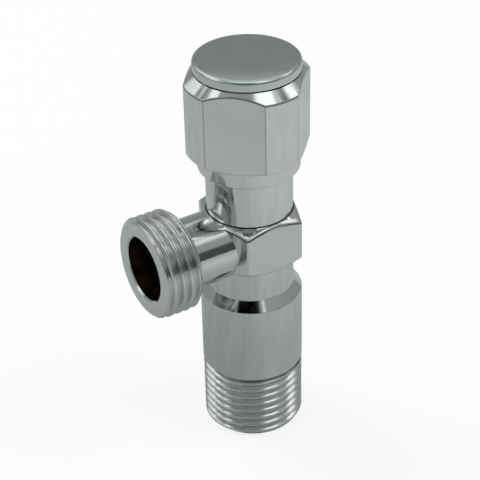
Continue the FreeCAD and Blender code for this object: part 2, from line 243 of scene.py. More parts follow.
def mesh_object(name, points, faces):
    """Mesh from points in millimetres."""
    mesh = bpy.data.meshes.new(name)
    mesh.from_pydata([[c * metres for c in p] for p in points], [], faces)
    mesh.validate()
    obj = bpy.data.objects.new(name, mesh)
    bpy.context.scene.collection.objects.link(obj)
    return obj


def rounded(corners):
    """Points through (u, v, rounding) corners of an open line, with each rounding as short steps."""
    points = []
    for i, (u, v, rounding) in enumerate(corners):
        corner = Vector((u, v))
        if rounding == 0:
            points.append((u, v))
            continue
        back = (Vector(corners[i - 1][:2]) - corner).normalized()
        ahead = (Vector(corners[i + 1][:2]) - corner).normalized()
        half = back.angle(ahead) / 2
        centre = corner + (back + ahead).normalized() * (rounding / math.sin(half))
        start = corner + back * (rounding / math.tan(half)) - centre
        turn = start.angle_signed(corner + ahead * (rounding / math.tan(half)) - centre)
        steps = max(2, math.ceil(abs(turn) / round_step))
        for k in range(steps + 1):
            arm = Matrix.Rotation(-turn * k / steps, 2) @ start
            points.append(tuple(centre + arm))
    return points


def turned(name, corners):
    """Solid of revolution from (radius, height, rounding) corners, the first and last on the axis."""
    profile = rounded(corners)
    angles = [2 * math.pi * i / columns for i in range(columns)]
    return columns_solid(name, angles, [profile] * columns)


def column_angles(corners, spread):
    """Even steps round the axis, with closer ones within the spread of each corner."""
    close = []
    for corner in corners:
        for k in range(corner_steps + 1):
            close.append((corner - spread + 2 * spread * k / corner_steps) % (2 * math.pi))
    for i in range(columns):
        angle = 2 * math.pi * i / columns
        nearest = min(abs((angle - corner + math.pi) % (2 * math.pi) - math.pi) for corner in corners)
        if nearest > spread + corner_clearance:
            close.append(angle)
    return sorted(close)


def columns_solid(name, angles, profiles):
    """Closed solid from one (radius, height) profile per angle round the axis; all have as many points."""
    count = len(profiles)
    inner = len(profiles[0]) - 2
    points = []
    for angle, profile in zip(angles, profiles):
        for radius, height in profile[1:-1]:
            points.append((radius * math.cos(angle), radius * math.sin(angle), height))
    bottom = len(points)
    points.append((0, 0, profiles[0][0][1]))
    points.append((0, 0, profiles[0][-1][1]))
    faces = []
    for i in range(count):
        here = i * inner
        beside = (i + 1) % count * inner
        faces.append((bottom, beside, here))
        faces.append((bottom + 1, here + inner - 1, beside + inner - 1))
        for j in range(inner - 1):
            faces.append((here + j, beside + j, beside + j + 1, here + j + 1))
    return mesh_object(name, points, faces)


def hexagon_solid(name, flats, base, top):
    """Upright hexagonal prism, measured across its flats."""
    corner_r = flats / 2 / math.cos(math.pi / 6)
    points = []
    for height in (base, top):
        for i in range(6):
            angle = math.pi * i / 3
            points.append((corner_r * math.cos(angle), corner_r * math.sin(angle), height))
    faces = [(5, 4, 3, 2, 1, 0), (6, 7, 8, 9, 10, 11)]
    for i in range(6):
        faces.append((i, (i + 1) % 6, (i + 1) % 6 + 6, i + 6))
    return mesh_object(name, points, faces)


def thread_rows():
    """(height above a crest's middle, radius) over one pitch of the 55 degree thread form."""
    turn = math.pi / 2 - thread_flank
    flat_turn = math.acos(1 - thread_truncation / thread_form_r)
    half = [(0, 0)]
    for k in range(thread_arc_steps + 1):
        angle = flat_turn + (turn - flat_turn) * k / thread_arc_steps
        depth = thread_form_r * (1 - math.cos(angle)) - thread_truncation
        half.append((thread_form_r * math.sin(angle), depth))
    crest_end = thread_form_r * math.sin(turn)
    root_start = thread_pitch / 2 - crest_end
    flank_drop = (root_start - crest_end) / math.tan(thread_flank)
    root_depth = 2 * thread_form_r * (1 - math.cos(turn)) + flank_drop - thread_truncation
    for k in range(thread_arc_steps + 1):
        angle = turn * (1 - k / thread_arc_steps)
        depth = root_depth - thread_form_r * (1 - math.cos(angle))
        half.append((thread_pitch / 2 - thread_form_r * math.sin(angle), depth))
    rows = [(along, thread_crest_r - depth) for along, depth in half]
    rows += [(thread_pitch - along, thread_crest_r - depth) for along, depth in reversed(half[1:-1])]
    return rows


def threaded_rod(name, crest_at, base, top):
    """Rod with a right-hand thread that reaches past base and top; its rows climb with the helix."""
    rows = thread_rows()
    per_turn = len(rows)
    first = math.floor((base - crest_at) / thread_pitch) - 2
    last = math.ceil((top - crest_at) / thread_pitch) + 1
    heights = []
    for turn in range(first, last):
        for along, radius in rows:
            heights.append((crest_at + turn * thread_pitch + along, radius))
    count = len(heights)
    points = []
    for i in range(columns):
        angle = 2 * math.pi * i / columns
        for height, radius in heights:
            points.append((radius * math.cos(angle), radius * math.sin(angle),
                           height + thread_pitch * i / columns))
    seam = len(points)
    for height, radius in heights[count - per_turn:]:
        points.append((radius, 0, height + thread_pitch))

    def index(i, j):
        """Point j of column i; the column after the last is the first one, a turn higher."""
        if i < columns:
            return i * count + j
        if j + per_turn < count:
            return j + per_turn
        return seam + j + per_turn - count

    faces = []
    for i in range(columns):
        for j in range(count - 1):
            faces.append((index(i, j), index(i + 1, j), index(i + 1, j + 1), index(i, j + 1)))
    low_rim = [index(i, 0) for i in range(columns + 1)] + list(range(per_turn - 1, 0, -1))
    high_rim = [index(i, count - 1) for i in range(columns + 1)]
    high_rim += [index(columns, j) for j in range(count - 2, count - per_turn - 1, -1)]
    low_middle = len(points)
    points.append((0, 0, heights[0][0]))
    points.append((0, 0, heights[-1][0] + thread_pitch))
    for k in range(len(low_rim)):
        faces.append((low_middle, low_rim[(k + 1) % len(low_rim)], low_rim[k]))
    for k in range(len(high_rim)):
        faces.append((low_middle + 1, high_rim[k], high_rim[(k + 1) % len(high_rim)]))
    return mesh_object(name, points, faces)


def combine(obj, other, operation):
    """Joins, cuts or intersects obj with other, and removes other."""
    step = obj.modifiers.new("step", "BOOLEAN")
    step.operation = operation
    step.solver = "MANIFOLD"
    step.object = other
    graph = bpy.context.evaluated_depsgraph_get()
    result = bpy.data.meshes.new_from_object(obj.evaluated_get(graph))
    obj.modifiers.remove(step)
    obj.data = result
    bpy.data.objects.remove(other)
    return obj


def towards_outlet(obj):
    """Turn a solid made about Z so that its +Z runs along the outlet's axis."""
    lift = Matrix.Translation((0, 0, outlet_height * metres))
    obj.data.transform(lift @ Matrix.Rotation(math.pi / 2, 4, "X"))
    return obj


def inlet_thread():
    """Threaded end that the valve stands on, with its edge chamfered."""
    reach = thread_crest_r + trim_clearance
    trim = turned("trim", [
        (0, 0, 0),
        (thread_crest_r - inlet_end_chamfer, 0, 0),
        (reach, reach - thread_crest_r + inlet_end_chamfer, 0),
        (reach, inlet_thread_top, 0),
        (0, inlet_thread_top, 0),
    ])
    rod = threaded_rod("inlet", inlet_crest_at, 0, inlet_thread_top)
    return combine(rod, trim, "INTERSECT")


def body_turning():
    """Relief groove, barrel, shoulder and both necks, with a plug that reaches into the inlet thread."""
    return turned("turning", [
        (0, inlet_thread_top - inlet_plug_depth, 0),
        (relief_r - inlet_plug_setback, inlet_thread_top - inlet_plug_depth, 0),
        (relief_r - inlet_plug_setback, inlet_thread_top - inlet_plug_lip, 0),
        (relief_r, inlet_thread_top + inlet_plug_rise, 0),
        (relief_r, relief_top, 0),
        (barrel_r, relief_top, edge_round / 2),
        (barrel_r, barrel_top, edge_round),
        (neck_r, shoulder_top, edge_round),
        (neck_r, neck_top, edge_round),
        (0, neck_top, 0),
    ])


def soft_nearest(distances, sharpness):
    """The least of some distances, blended where two of them are nearly the same."""
    least = min(distances)
    return least * sum((least / d) ** sharpness for d in distances) ** (-1 / sharpness)


def hexagon_reach(angle):
    """Distance from the axis to the block's squashed hexagon in one direction, with its corners rounded."""
    sides = [(0, block_half_width), (math.pi, block_half_width)]
    for middle, nose in ((math.pi / 2, block_back_nose), (-math.pi / 2, block_nose)):
        slant = math.atan2(nose - block_side_half, block_half_width)
        sides.append((middle - slant, nose * math.cos(slant)))
        sides.append((middle + slant, nose * math.cos(slant)))
    turned_sides = [(math.cos(angle - normal), offset) for normal, offset in sides]
    # Sides that face away don't bound this direction
    distances = [offset / facing for facing, offset in turned_sides if facing > 0.1]
    return soft_nearest(distances, block_corner_unit / block_corner_round)


def block_profile(reach):
    """Half section of the block where its side stands at reach, with its bevel's outer edge rounded."""
    r = block_edge_round
    slope = block_corner_slope
    side = reach - r
    drop = (reach - block_ledge_r) * math.tan(slope) + r * math.tan(math.pi / 4 - slope / 2)
    upper = [(block_ledge_r, block_top)]
    for k in range(bevel_steps + 1):
        angle = (math.pi / 2 - slope) * (1 - k / bevel_steps)
        upper.append((side + r * math.cos(angle), block_top - drop + r * math.sin(angle)))
    upper.append((reach, (block_base + block_top) / 2))
    middle = block_base + block_top
    lower = [(radius, middle - height) for radius, height in upper[:-1]]
    return [(0, block_base)] + lower + upper[::-1] + [(0, block_top)]


def body_block():
    """The block between the necks, a squashed hexagon with its long corners towards +Y and -Y."""
    tip = math.atan2(block_side_half, block_half_width)
    corners = [math.pi / 2, -math.pi / 2, tip, -tip, math.pi - tip, math.pi + tip]
    angles = column_angles(corners, block_corner_spread)
    return columns_solid("block", angles, [block_profile(hexagon_reach(a)) for a in angles])


def body_outlet():
    """Neck and threaded collar of the outlet, with the neck's top faced off beside the upper neck."""
    reach = thread_crest_r + trim_clearance
    trim = turned("trim", [
        (0, outlet_collar_base, 0),
        (thread_crest_r - outlet_back_chamfer, outlet_collar_base, 0),
        (reach, outlet_collar_base + outlet_back_chamfer + reach - thread_crest_r, 0),
        (reach, outlet_reach - outlet_end_chamfer - reach + thread_crest_r, 0),
        (thread_crest_r - outlet_end_chamfer, outlet_reach, 0),
        (0, outlet_reach, 0),
    ])
    rod = threaded_rod("outlet", outlet_crest_at, outlet_collar_base, outlet_reach)
    collar = combine(rod, trim, "INTERSECT")
    neck = turned("neck", [
        (0, 0, 0),
        (outlet_neck_r, 0, 0),
        (outlet_neck_r, outlet_collar_base + overlap, root_round),
        (outlet_neck_r + 2 * root_round, outlet_collar_base + overlap, 0),
        (outlet_neck_r, outlet_collar_base + outlet_neck_in_collar, 0),
        (0, outlet_collar_base + outlet_neck_in_collar, 0),
    ])
    outlet = towards_outlet(combine(collar, neck, "UNION"))
    outlet_top = outlet_height + outlet_neck_r + overlap
    facing = turned("facing", [
        (0, block_top, 0),
        (neck_facing_r, block_top, 0),
        (neck_facing_r, outlet_top, neck_facing_round),
        (neck_facing_r + 2 * neck_facing_round, outlet_top, 0),
        (neck_facing_r + 2 * neck_facing_round, neck_top, 0),
        (0, neck_top, 0),
    ])
    return combine(outlet, facing, "DIFFERENCE")


def upright_waterway():
    """Inlet bore, seat hole, chamber and the neck's mouth."""
    return turned("upright", [
        (0, -overcut, 0),
        (inlet_bore_r, -overcut, 0),
        (inlet_bore_r, inlet_bore_depth, 0),
        (seat_hole_r, inlet_bore_top, 0),
        (seat_hole_r, seat_top, 0),
        (chamber_r, seat_top, 0),
        (chamber_r, housing_thread_base, 0),
        (housing_thread_r, housing_thread_base, 0),
        (housing_thread_r, mouth_seat_height, 0),
        (mouth_seat_r, mouth_seat_height, 0),
        (mouth_seat_r, neck_top + overcut, 0),
        (0, neck_top + overcut, 0),
    ])


def sideways_waterway():
    """Outlet bore and its wider mouth."""
    beyond = outlet_mouth_chamfer + overcut
    return towards_outlet(turned("sideways", [
        (0, 0, 0),
        (outlet_bore_r, 0, 0),
        (outlet_bore_r, outlet_mouth_floor, 0),
        (outlet_mouth_r, outlet_mouth_floor, 0),
        (outlet_mouth_r, outlet_reach - outlet_mouth_chamfer, 0),
        (outlet_mouth_r + beyond, outlet_reach - outlet_mouth_chamfer + beyond, 0),
        (0, outlet_reach - outlet_mouth_chamfer + beyond, 0),
    ]))


def threaded_body():
    """The whole body as one solid."""
    body = combine(body_block(), body_outlet(), "UNION")
    body = combine(body, body_turning(), "UNION")
    body = combine(body, inlet_thread(), "UNION")
    body = combine(body, upright_waterway(), "DIFFERENCE")
    body = combine(body, sideways_waterway(), "DIFFERENCE")
    body.name = "threaded_body"
    return body


def knob_reach(angle):
    """Distance from the axis to the knob's side in one direction: round, with four flats and soft edges."""
    from_flat = (angle % (math.pi / 2)) - math.pi / 4
    return soft_nearest([knob_r, knob_flat_distance / math.cos(from_flat)], knob_edge_unit / knob_edge_round)


def knob_profile(reach):
    """Half section of the knob and its skirt where the knob's side stands at reach."""
    bottom_slope = (knob_side_base - skirt_top) / (knob_r - skirt_r)
    top_slope = (knob_top - knob_side_top) / (knob_r - knob_top_r)
    return rounded([
        (0, skirt_base, 0),
        (skirt_r, skirt_base, edge_round),
        (skirt_r, skirt_top, 0),
        (reach, skirt_top + (reach - skirt_r) * bottom_slope, knob_edge_round),
        (reach, knob_top - (reach - knob_top_r) * top_slope, knob_edge_round),
        (knob_top_r, knob_top, 0),
        (0, knob_top, 0),
    ])


def knob():
    """Knob with its hollow underside, hub, screw way, recess for the cap and shadow groove round the cap."""
    half_flat = math.acos(knob_flat_distance / knob_r)
    middles = [math.pi / 4 + k * math.pi / 2 for k in range(4)]
    edges = [middle + side * half_flat for middle in middles for side in (-1, 1)]
    angles = column_angles(edges, knob_edge_spread)
    solid = columns_solid("knob", angles, [knob_profile(knob_reach(a)) for a in angles])
    underside = turned("underside", [
        (0, skirt_base - overcut, 0),
        (skirt_bore_r, skirt_base - overcut, 0),
        (skirt_bore_r, hub_ceiling, 0),
        (hub_r, hub_ceiling, 0),
        (hub_r, hub_base, 0),
        (0, hub_base, 0),
    ])
    screw_way = turned("screw_way", [
        (0, hub_ceiling - overcut, 0),
        (screw_way_r, hub_ceiling - overcut, 0),
        (screw_way_r, cap_recess_floor + overcut / 2, 0),
        (0, cap_recess_floor + overcut / 2, 0),
    ])
    recess = turned("recess", [
        (0, cap_recess_floor, 0),
        (cap_recess_r, cap_recess_floor, 0),
        (cap_recess_r, knob_top + overcut, 0),
        (0, knob_top + overcut, 0),
    ])
    seam_groove = turned("seam_groove", [
        (0, seam_groove_base, 0),
        (seam_groove_outer_r, seam_groove_base, 0),
        (seam_groove_outer_r, knob_top + overcut, 0),
        (0, knob_top + overcut, 0),
    ])
    seat = turned("seat", [
        (0, seam_groove_base - overcut, 0),
        (seam_groove_inner_r, seam_groove_base - overcut, 0),
        (seam_groove_inner_r, knob_top + 2 * overcut, 0),
        (0, knob_top + 2 * overcut, 0),
    ])
    seam_groove = combine(seam_groove, seat, "DIFFERENCE")
    socket = hexagon_solid("socket", hub_socket_flats, hub_base - overcut / 2, hub_ceiling)
    for cutter in (underside, socket, screw_way, recess, seam_groove):
        solid = combine(solid, cutter, "DIFFERENCE")
    return solid


def crowned_cap():
    """Disc with a slightly domed top, a fine seam above the knob, and the plug with its ring groove."""
    seam_top = knob_top + cap_seam_height
    shares = [k / dome_steps for k in range(dome_steps - 1, -1, -1)]
    dome = [(cap_r * share, cap_top - cap_crown * share ** 3, 0) for share in shares]
    return turned("cap", [
        (0, cap_hollow_top, 0),
        (cap_hollow_r, cap_hollow_top, 0),
        (cap_hollow_r, cap_plug_base, 0),
        (cap_plug_r, cap_plug_base, edge_round),
        (cap_plug_r, cap_groove_base, 0),
        (cap_groove_r, cap_groove_base, 0),
        (cap_groove_r, cap_groove_top, 0),
        (cap_plug_r, cap_groove_top, 0),
        (cap_plug_r, seam_top, 0),
        (cap_r, seam_top, 0),
        (cap_r, cap_top - cap_crown, cap_rim_round),
    ] + dome)


def close_up(obj):
    """Removes edges too short to see and faces without area, which joining and cutting solids leaves."""
    work = bmesh.new()
    work.from_mesh(obj.data)
    bmesh.ops.dissolve_degenerate(work, dist=closing_distance * metres, edges=work.edges)
    work.to_mesh(obj.data)
    work.free()


def shade(obj):
    """Smooth faces with sharp edges kept, and normals that follow the larger faces."""
    mesh = obj.data
    mesh.shade_smooth()
    mesh.set_sharp_from_angle(angle=sharp_angle)
    weighted = obj.modifiers.new("normals", "WEIGHTED_NORMAL")
    weighted.keep_sharp = True


def add_nodes(material_or_world):
    """Empty node tree of a material or world."""
    material_or_world.use_nodes = True
    tree = material_or_world.node_tree
    tree.nodes.clear()
    return tree


def node(tree, kind, **settings):
    """New shader node of a kind, with its settings."""
    made = tree.nodes.new("ShaderNode" + kind)
    for key, value in settings.items():
        setattr(made, key, value)
    return made


def link(tree, out, into):
    """Joins an output to an input."""
    tree.links.new(out, into)


def to_output(tree, shader, kind="OutputMaterial"):
    """Joins a shader to the output of its material or world."""
    link(tree, shader, node(tree, kind).inputs["Surface"])


def mixed(tree, share, first, second):
    """Shader between two others."""
    made = node(tree, "MixShader")
    for socket, out in zip(made.inputs, (share, first, second)):
        link(tree, out, socket)
    return made.outputs[0]


def noise(tree, where, scale, detail=2.0, roughness=0.5):
    """Noise around 0.5, with so many waves to a metre."""
    made = node(tree, "TexNoise")
    made.inputs["Scale"].default_value = scale
    made.inputs["Detail"].default_value = detail
    made.inputs["Roughness"].default_value = roughness
    link(tree, where, made.inputs["Vector"])
    return made.outputs["Fac"]


def stretched(tree, where, scale):
    """Coordinates scaled by an amount of their own along each axis."""
    made = node(tree, "Mapping")
    made.inputs["Scale"].default_value = scale
    link(tree, where, made.inputs["Vector"])
    return made.outputs["Vector"]


def between(tree, value, low, high, to_low=0.0, to_high=1.0):
    """Value carried over from low..high to to_low..to_high, with a soft start and end."""
    made = node(tree, "MapRange")
    made.interpolation_type = "SMOOTHSTEP"
    for socket, number in zip(("From Min", "From Max", "To Min", "To Max"), (low, high, to_low, to_high)):
        made.inputs[socket].default_value = number
    link(tree, value, made.inputs["Value"])
    return made.outputs["Result"]


def between_evenly(tree, value, low, high):
    """Share of the way from low to high, along a straight line."""
    made = node(tree, "MapRange")
    made.inputs["From Min"].default_value = low
    made.inputs["From Max"].default_value = high
    link(tree, value, made.inputs["Value"])
    return made.outputs["Result"]


def maths(tree, operation, first, second=None):
    """Result of an operation on sockets or numbers."""
    made = node(tree, "Math", operation=operation)
    for socket, value in zip(made.inputs, (first, second)):
        if value is None:
            continue
        if isinstance(value, (int, float)):
            socket.default_value = value
        else:
            link(tree, value, socket)
    return made.outputs["Value"]


def compass(azimuth, elevation):
    """Direction at an azimuth, where 0 is -Y and 90 is +X, and an elevation, in degrees."""
    a, e = math.radians(azimuth), math.radians(elevation)
    return Vector((math.sin(a) * math.cos(e), -math.cos(a) * math.cos(e), math.sin(e)))


def aligned(tree, direction, axis):
    """How far a place lies, or a direction points, along an axis."""
    made = node(tree, "VectorMath", operation="DOT_PRODUCT")
    made.inputs[1].default_value = axis
    link(tree, direction, made.inputs[0])
    return made.outputs["Value"]


def blended(tree, share, first, second):
    """Colour between two others, each a socket or three numbers."""
    made = node(tree, "Mix", data_type="RGBA")
    link(tree, share, made.inputs["Factor"])
    for socket, value in zip((made.inputs[6], made.inputs[7]), (first, second)):
        if isinstance(value, tuple):
            socket.default_value = (*value, 1)
        else:
            link(tree, value, socket)
    return made.outputs[2]


def principled(tree, metallic, roughness):
    """Main shader, linked to the material's output."""
    shader = node(tree, "BsdfPrincipled")
    shader.inputs["Metallic"].default_value = metallic
    shader.inputs["Roughness"].default_value = roughness
    to_output(tree, shader.outputs["BSDF"])
    return shader


def varied(tree, grain, low, high):
    """Most of a noise's range carried over to low..high."""
    return between(tree, grain, 0.3, 0.7, low, high)


def bumped(tree, shader, height, depth):
    """Bump from a height between 0 and 1, its depth in micrometres."""
    made = node(tree, "Bump")
    made.inputs["Strength"].default_value = 1.0
    made.inputs["Distance"].default_value = depth * micrometre
    link(tree, height, made.inputs["Height"])
    link(tree, made.outputs["Normal"], shader.inputs["Normal"])


def surface(name):
    """New material, its tree, and the place on the object in metres."""
    material = bpy.data.materials.new(name)
    tree = add_nodes(material)
    where = node(tree, "TexCoord").outputs["Object"]
    return material, tree, where


def band(tree, value, low, high, soft):
    """One inside low to high and nothing outside, with soft ends."""
    rising = between(tree, value, low - soft, low + soft)
    return maths(tree, "MULTIPLY", rising, between(tree, value, high - soft, high + soft, 1, 0))


def band_mm(tree, value, low, high, soft):
    """The same with its limits in millimetres."""
    return band(tree, value, low * metres, high * metres, soft * metres)


def from_axis(tree, where):
    """Distance from the valve's axis, and height."""
    flat = node(tree, "VectorMath", operation="LENGTH")
    link(tree, stretched(tree, where, (1, 1, 0)), flat.inputs[0])
    parts = node(tree, "SeparateXYZ")
    link(tree, where, parts.inputs[0])
    return flat.outputs["Value"], parts.outputs["Z"]


def block_painted_shade_lines(tree, where):
    """Painted shade: a thin painted shadow round the upper neck's foot, and thin dark lines under the
    block's bevelled edge that paint its dark reflection.
    """
    away, height = from_axis(tree, where)
    slope = math.tan(block_corner_slope)
    level = maths(tree, "ADD", height, maths(tree, "MULTIPLY", away, slope))
    edge_level = block_top + block_ledge_r * slope
    under = band_mm(tree, level, edge_level - block_line_low, edge_level - block_line_high, line_soft)
    wide = band_mm(tree, away, block_line_inner_r, block_line_outer_r, block_line_end)
    back = aligned(tree, where, compass(180, 0))
    clear = between(tree, back, -(block_line_front + block_line_end) * metres, -block_line_front * metres)
    foot_height = band_mm(tree, height, block_top - foot_line_below, block_top + foot_line_above, line_soft)
    foot_ring = band_mm(tree, away, neck_r - foot_line_inside, neck_r + foot_line_outside, foot_line_soft)
    foot = maths(tree, "MULTIPLY", foot_height, foot_ring)
    return maths(tree, "MAXIMUM", foot, maths(tree, "MULTIPLY", under, maths(tree, "MULTIPLY", wide, clear)))


def knob_painted_shade_lines(tree, where):
    """Painted shade: thin dark lines under the knob's scalloped edge and along its upright edges, painting
    the dark reflections along those edges.
    """
    top_slope = (knob_top - knob_side_top) / (knob_r - knob_top_r)
    half_flat = math.sqrt(knob_r ** 2 - knob_flat_distance ** 2)
    away, height = from_axis(tree, where)
    level = maths(tree, "ADD", height, maths(tree, "MULTIPLY", away, top_slope))
    edge_level = knob_top + knob_top_r * top_slope
    # The lines' limits are shares of one width
    width = knob_edge_line
    soft = 0.2 * width
    scallop = band_mm(tree, level, edge_level - 1.25 * width, edge_level - 0.3 * width, soft)
    lower = (edge_level - 1.2 * width) * metres
    upper = (edge_level - 0.6 * width) * metres
    across = [maths(tree, "ABSOLUTE", aligned(tree, where, compass(azimuth, 0))) for azimuth in (45, 135)]
    offset = maths(tree, "MINIMUM", *across)
    upright = band_mm(tree, offset, half_flat - 0.4 * width, half_flat + 0.4 * width, soft)
    below = between(tree, level, lower, upper, 1, 0)
    above = between(tree, height, (knob_side_base - width) * metres, knob_side_base * metres)
    half_dark = maths(tree, "MULTIPLY", upright, 0.5)
    upright = maths(tree, "MULTIPLY", half_dark, maths(tree, "MULTIPLY", below, above))
    return maths(tree, "MAXIMUM", scallop, upright)


def times(tone, share):
    """Colour made lighter or darker."""
    return tuple(channel * share for channel in tone)


def chrome(name, tone, smooth, dull, peel, painted_shade_lines=None, painted_shade_tone=1.0):
    """Polished plating: cloudy tone, hazy patches, and a slow ripple left by buffing; given painted shade
    lines darken its colour along them.
    """
    material, tree, where = surface(name)
    shader = principled(tree, 1.0, smooth)
    clouds = noise(tree, where, cloud_scale, 3)
    cloudy = blended(tree, clouds, times(tone, 1 - cloud_contrast), times(tone, 1 + cloud_contrast))
    # Painted shade: the colour darkens along the given lines
    if painted_shade_lines:
        cloudy = blended(tree, painted_shade_lines(tree, where), cloudy, times(tone, painted_shade_tone))
    link(tree, cloudy, shader.inputs["Base Color"])
    haze = between(tree, noise(tree, where, haze_scale, 4, 0.6), 0.35, 0.7, smooth, dull)
    streaks = noise(tree, stretched(tree, where, scuff_scale), 1, 3)
    scuffs = between(tree, streaks, 0.56, 0.74, 0, scuff_roughness)
    link(tree, maths(tree, "ADD", haze, scuffs), shader.inputs["Roughness"])
    ripple = noise(tree, where, ripple_scale, 1)
    grain = maths(tree, "MULTIPLY", noise(tree, where, grain_scale, 2), grain_share)
    bumped(tree, shader, maths(tree, "ADD", ripple, grain), peel)
    return material


def satin_chrome(name, tone, smooth, dull, ring_depth):
    """Plating over a face that was turned: fine rings round the axis."""
    material, tree, where = surface(name)
    shader = principled(tree, 1.0, smooth)
    away = from_axis(tree, where)[0]
    rings = node(tree, "TexNoise", noise_dimensions="1D")
    rings.inputs["Scale"].default_value = ring_scale
    rings.inputs["Detail"].default_value = 3
    link(tree, away, rings.inputs["W"])
    clouds = noise(tree, where, satin_cloud_scale, 3)
    link(tree, blended(tree, clouds, times(tone, 1 - cloud_contrast), tone), shader.inputs["Base Color"])
    haze = varied(tree, noise(tree, where, satin_haze_scale, 3), smooth, dull)
    link(tree, haze, shader.inputs["Roughness"])
    bumped(tree, shader, rings.outputs["Fac"], ring_depth)
    return material


def turned_metal(name, tone, dark, roughness, line_pitch):
    """Machined metal with tool lines along the axis and darker patches: tarnish, and on the bores' brass
    also painted shade.
    """
    material, tree, where = surface(name)
    shader = principled(tree, 1.0, roughness)
    patches = between(tree, noise(tree, where, tarnish_scale, 4, 0.6), 0.4, 0.68)
    link(tree, blended(tree, patches, tone, dark), shader.inputs["Base Color"])
    uneven = varied(tree, noise(tree, where, wear_scale, 3), roughness * 0.8, roughness * 1.3)
    link(tree, uneven, shader.inputs["Roughness"])
    along = 1 / (line_pitch * metres)
    lines = noise(tree, stretched(tree, where, (tool_line_scale, tool_line_scale, along)), 1, 2)
    bumped(tree, shader, lines, tool_line_depth)
    return material


def moulded(name, tone, shadow, roughness, grain, grain_depth):
    """Rubber, plastic or ceramic: faint mottling and a fine grain."""
    material, tree, where = surface(name)
    shader = principled(tree, 0.0, roughness)
    mottle = noise(tree, where, grain / 6, 3)
    link(tree, blended(tree, mottle, shadow, tone), shader.inputs["Base Color"])
    uneven = varied(tree, noise(tree, where, grain / 2, 2), roughness * 0.85, roughness * 1.15)
    link(tree, uneven, shader.inputs["Roughness"])
    bumped(tree, shader, noise(tree, where, grain, 2), grain_depth)
    return material


def in_waterway(centre):
    """Whether a point of the body's surface lies on a bore; the end faces lie outside every bore."""
    x, y, z = centre.x / metres, centre.y / metres, centre.z / metres
    away = math.hypot(x, y)
    beside = math.hypot(x, z - outlet_height)
    if neck_r < -y < outlet_mouth_floor + end_slack:
        return beside < outlet_bore_r + bore_slack
    if outlet_mouth_floor < -y < outlet_reach - outlet_mouth_chamfer - bore_slack:
        return beside < outlet_mouth_r + bore_slack
    if z > mouth_seat_height - bore_slack:
        return away < mouth_seat_r + wall_slack and z < neck_top - end_slack
    return away < inlet_bore_r + wall_slack and z > end_slack


def in_thread(centre):
    """Whether a point lies on a thread's flank or root, below the crests' flats."""
    x, y, z = centre.x / metres, centre.y / metres, centre.z / metres
    crest = thread_crest_r - crest_slack
    if z < inlet_thread_top:
        return inlet_end_chamfer < z and math.hypot(x, y) < crest
    on_collar = outlet_collar_base + collar_thread_start < -y < outlet_reach - outlet_end_chamfer
    return on_collar and math.hypot(x, z - outlet_height) < crest


def on_collar_back(centre):
    """Whether a point lies on the collar's back or the root below it, which a buffing wheel can't reach."""
    beside = math.hypot(centre.x / metres, centre.z / metres - outlet_height)
    depth = -centre.y / metres - outlet_collar_base
    return -collar_root_reach < depth < outlet_back_chamfer and beside > outlet_neck_r + collar_back_slack


def paint_body(obj, plating, raw, threads, dull):
    """Plating all over, and other finishes in the bores, on the thread flanks and on the collar's back; the
    bores' brass and the flanks' plating are darker, partly as painted shade in those hollows.
    """
    obj.data.materials.clear()
    for material in (plating, raw, threads, dull):
        obj.data.materials.append(material)
    for face in obj.data.polygons:
        if in_waterway(face.center):
            face.material_index = 1
        elif in_thread(face.center):
            face.material_index = 2
        elif on_collar_back(face.center):
            face.material_index = 3


def paint(obj, material):
    """One material all over."""
    obj.data.materials.clear()
    obj.data.materials.append(material)


def seen_straight(tree):
    """One where the ray comes from the camera or off a glossy or clear surface, else nothing."""
    path = node(tree, "LightPath")
    seen = maths(tree, "ADD", path.outputs["Is Camera Ray"], path.outputs["Is Glossy Ray"])
    return maths(tree, "MINIMUM", maths(tree, "ADD", seen, path.outputs["Is Transmission Ray"]), 1.0)


def world():
    """Even soft light, and plain white where the camera or the plating sees past the floor."""
    made = bpy.data.worlds.new("studio")
    bpy.context.scene.world = made
    tree = add_nodes(made)
    plain = node(tree, "Background")
    plain.inputs["Color"].default_value = (*sky_tint, 1)
    plain.inputs["Strength"].default_value = sky_strength
    white = node(tree, "Background")
    white.inputs["Color"].default_value = (1, 1, 1, 1)
    white.inputs["Strength"].default_value = 1.0
    shader = mixed(tree, seen_straight(tree), plain.outputs[0], white.outputs[0])
    to_output(tree, shader, "OutputWorld")


def disc(name, radius, height):
    """Flat round face, in millimetres."""
    points = []
    for i in range(disc_steps):
        angle = 2 * math.pi * i / disc_steps
        points.append((radius * math.cos(angle), radius * math.sin(angle), height))
    return mesh_object(name, points, [tuple(range(disc_steps))])


def floor():
    """Pale floor that keeps the valve's shadow and is nearly white to the camera."""
    obj = disc("floor", floor_radius, floor_height)
    material = bpy.data.materials.new("floor")
    tree = add_nodes(material)
    pale = node(tree, "BsdfDiffuse")
    pale.inputs["Color"].default_value = (floor_tone, floor_tone, floor_tone, 1)
    white = node(tree, "Emission")
    white.inputs["Strength"].default_value = 1.0
    white_share = maths(tree, "MULTIPLY", seen_straight(tree), floor_white_share)
    to_output(tree, mixed(tree, white_share, pale.outputs[0], white.outputs[0]))
    paint(obj, material)


def only_in_reflections(obj):
    """Stage piece that lights nothing and casts no shadow, and that only shiny surfaces see."""
    obj.visible_camera = False
    obj.visible_diffuse = False
    obj.visible_transmission = False
    obj.visible_shadow = False


